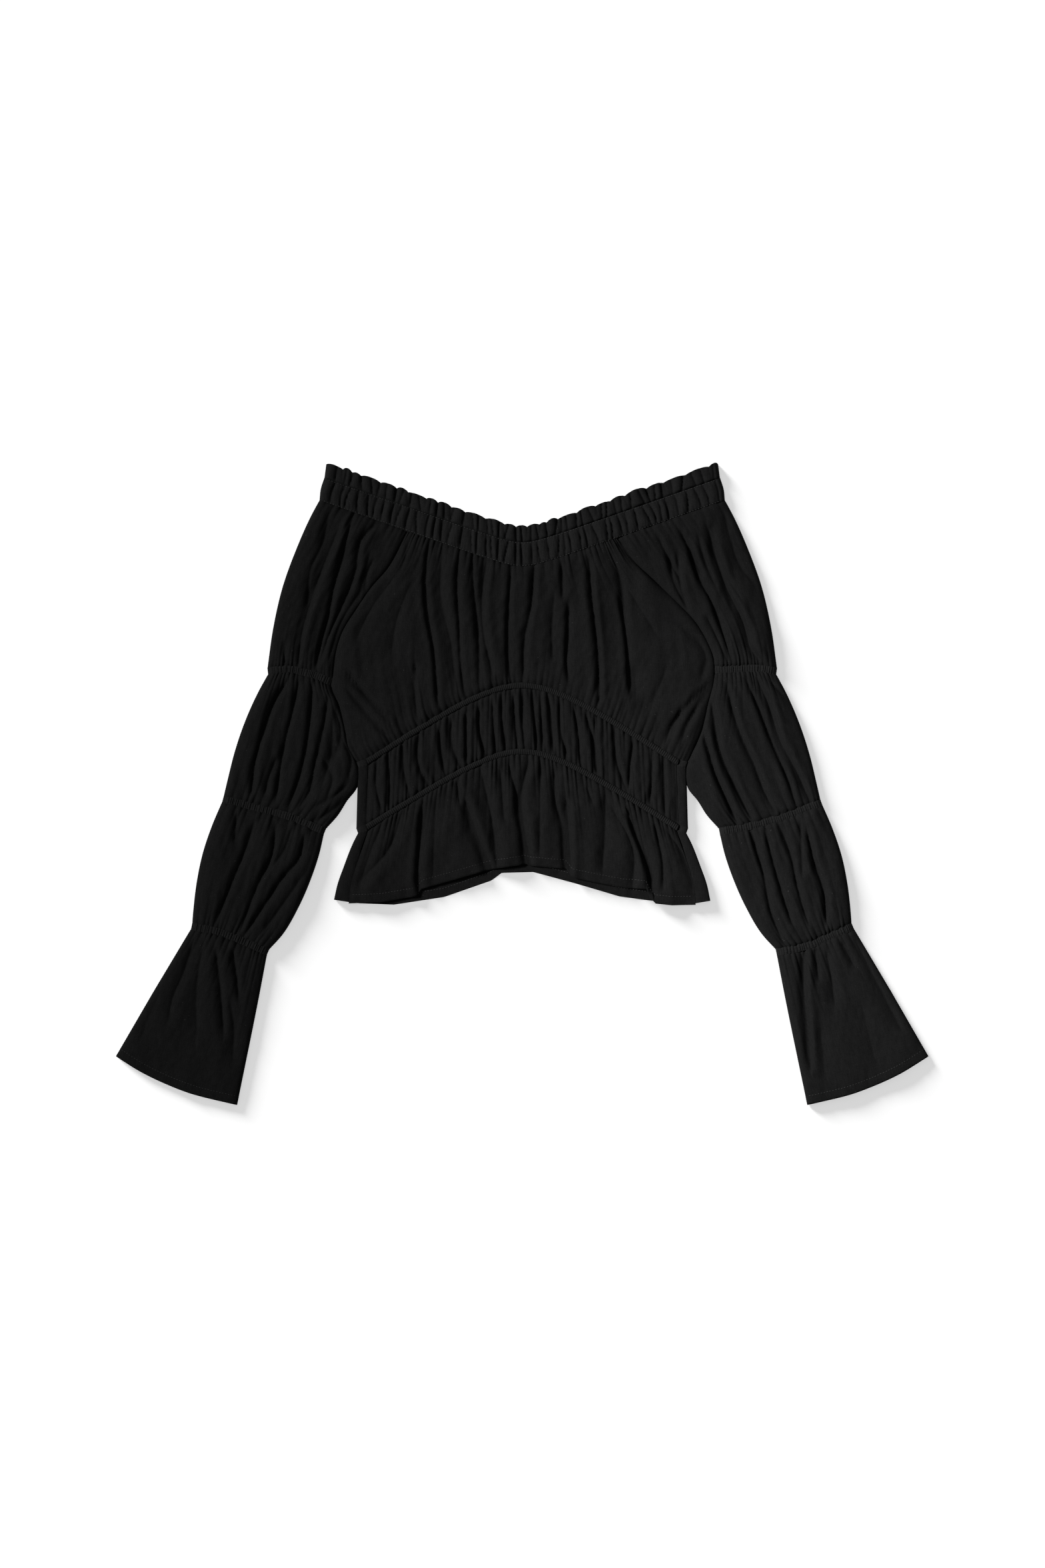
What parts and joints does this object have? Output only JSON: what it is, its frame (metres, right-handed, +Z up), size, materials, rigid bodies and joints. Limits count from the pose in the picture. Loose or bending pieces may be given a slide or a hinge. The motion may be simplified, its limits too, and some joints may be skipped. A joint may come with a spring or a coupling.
{
  "type": "gathered off-the-shoulder top",
  "caption": "Off-the-shoulder long-sleeved top with a ruffled elastic neck, tiered sleeves with flared cuffs and a peplum, laid flat.",
  "frame": {"origin": "centre of the bounding box, on the surface that the top lies on", "axes": "+X to the top's picture right with the front up, +Y towards the neckline, +Z up out of the front"},
  "size_m": [0.792, 0.6269, 0.0074],
  "materials": {
    "cloth": "matte black crepe with a dry, slightly slubbed surface",
    "casing": "the same black crepe, finely ruched over elastic"
  },
  "bodies": {
    "root": {"neck_ruffle": "cloth", "neck_casing": "casing", "front_bodice": "cloth", "bust_channel_front": "casing", "front_midriff": "cloth", "waist_channel_front": "casing", "front_peplum": "cloth", "back_bodice": "cloth", "bust_channel_back": "casing", "back_midriff": "cloth", "waist_channel_back": "casing", "back_peplum": "cloth", "sleeve_shoulder_left": "cloth", "sleeve_elastic_upper_left": "casing", "sleeve_elbow_left": "cloth", "sleeve_elastic_middle_left": "casing", "sleeve_forearm_left": "cloth", "sleeve_elastic_lower_left": "casing", "sleeve_cuff_left": "cloth", "sleeve_shoulder_right": "cloth", "sleeve_elastic_upper_right": "casing", "sleeve_elbow_right": "cloth", "sleeve_elastic_middle_right": "casing", "sleeve_forearm_right": "cloth", "sleeve_elastic_lower_right": "casing", "sleeve_cuff_right": "cloth"}
  },
  "joints": []
}
